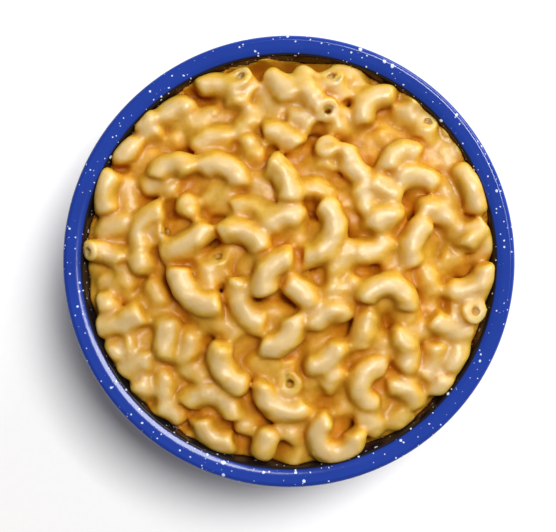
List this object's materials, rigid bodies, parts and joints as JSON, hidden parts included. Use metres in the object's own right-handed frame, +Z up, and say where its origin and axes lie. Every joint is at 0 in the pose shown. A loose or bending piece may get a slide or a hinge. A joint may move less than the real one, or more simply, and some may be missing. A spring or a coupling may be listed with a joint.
{
  "type": "bowl of macaroni and cheese",
  "caption": "Round enamelled steel bowl with a rolled rim, heaped with elbow macaroni in cheese sauce.",
  "frame": {"origin": "middle of the bowl's foot, on the surface that it stands on", "axes": "+Z up along the bowl's axis of turning; the bowl is round, so +X and +Y are the heap's own right and top as seen from above"},
  "size_m": [0.152, 0.152, 0.0632],
  "materials": {
    "blue_enamel": "glossy vitreous enamel on steel, royal blue with sparse small white speckles",
    "cheese_macaroni": "wet, creamy cheese sauce over soft pale pasta"
  },
  "bodies": {
    "root": {"bowl": "blue_enamel", "macaroni_heap": "cheese_macaroni"}
  },
  "joints": []
}
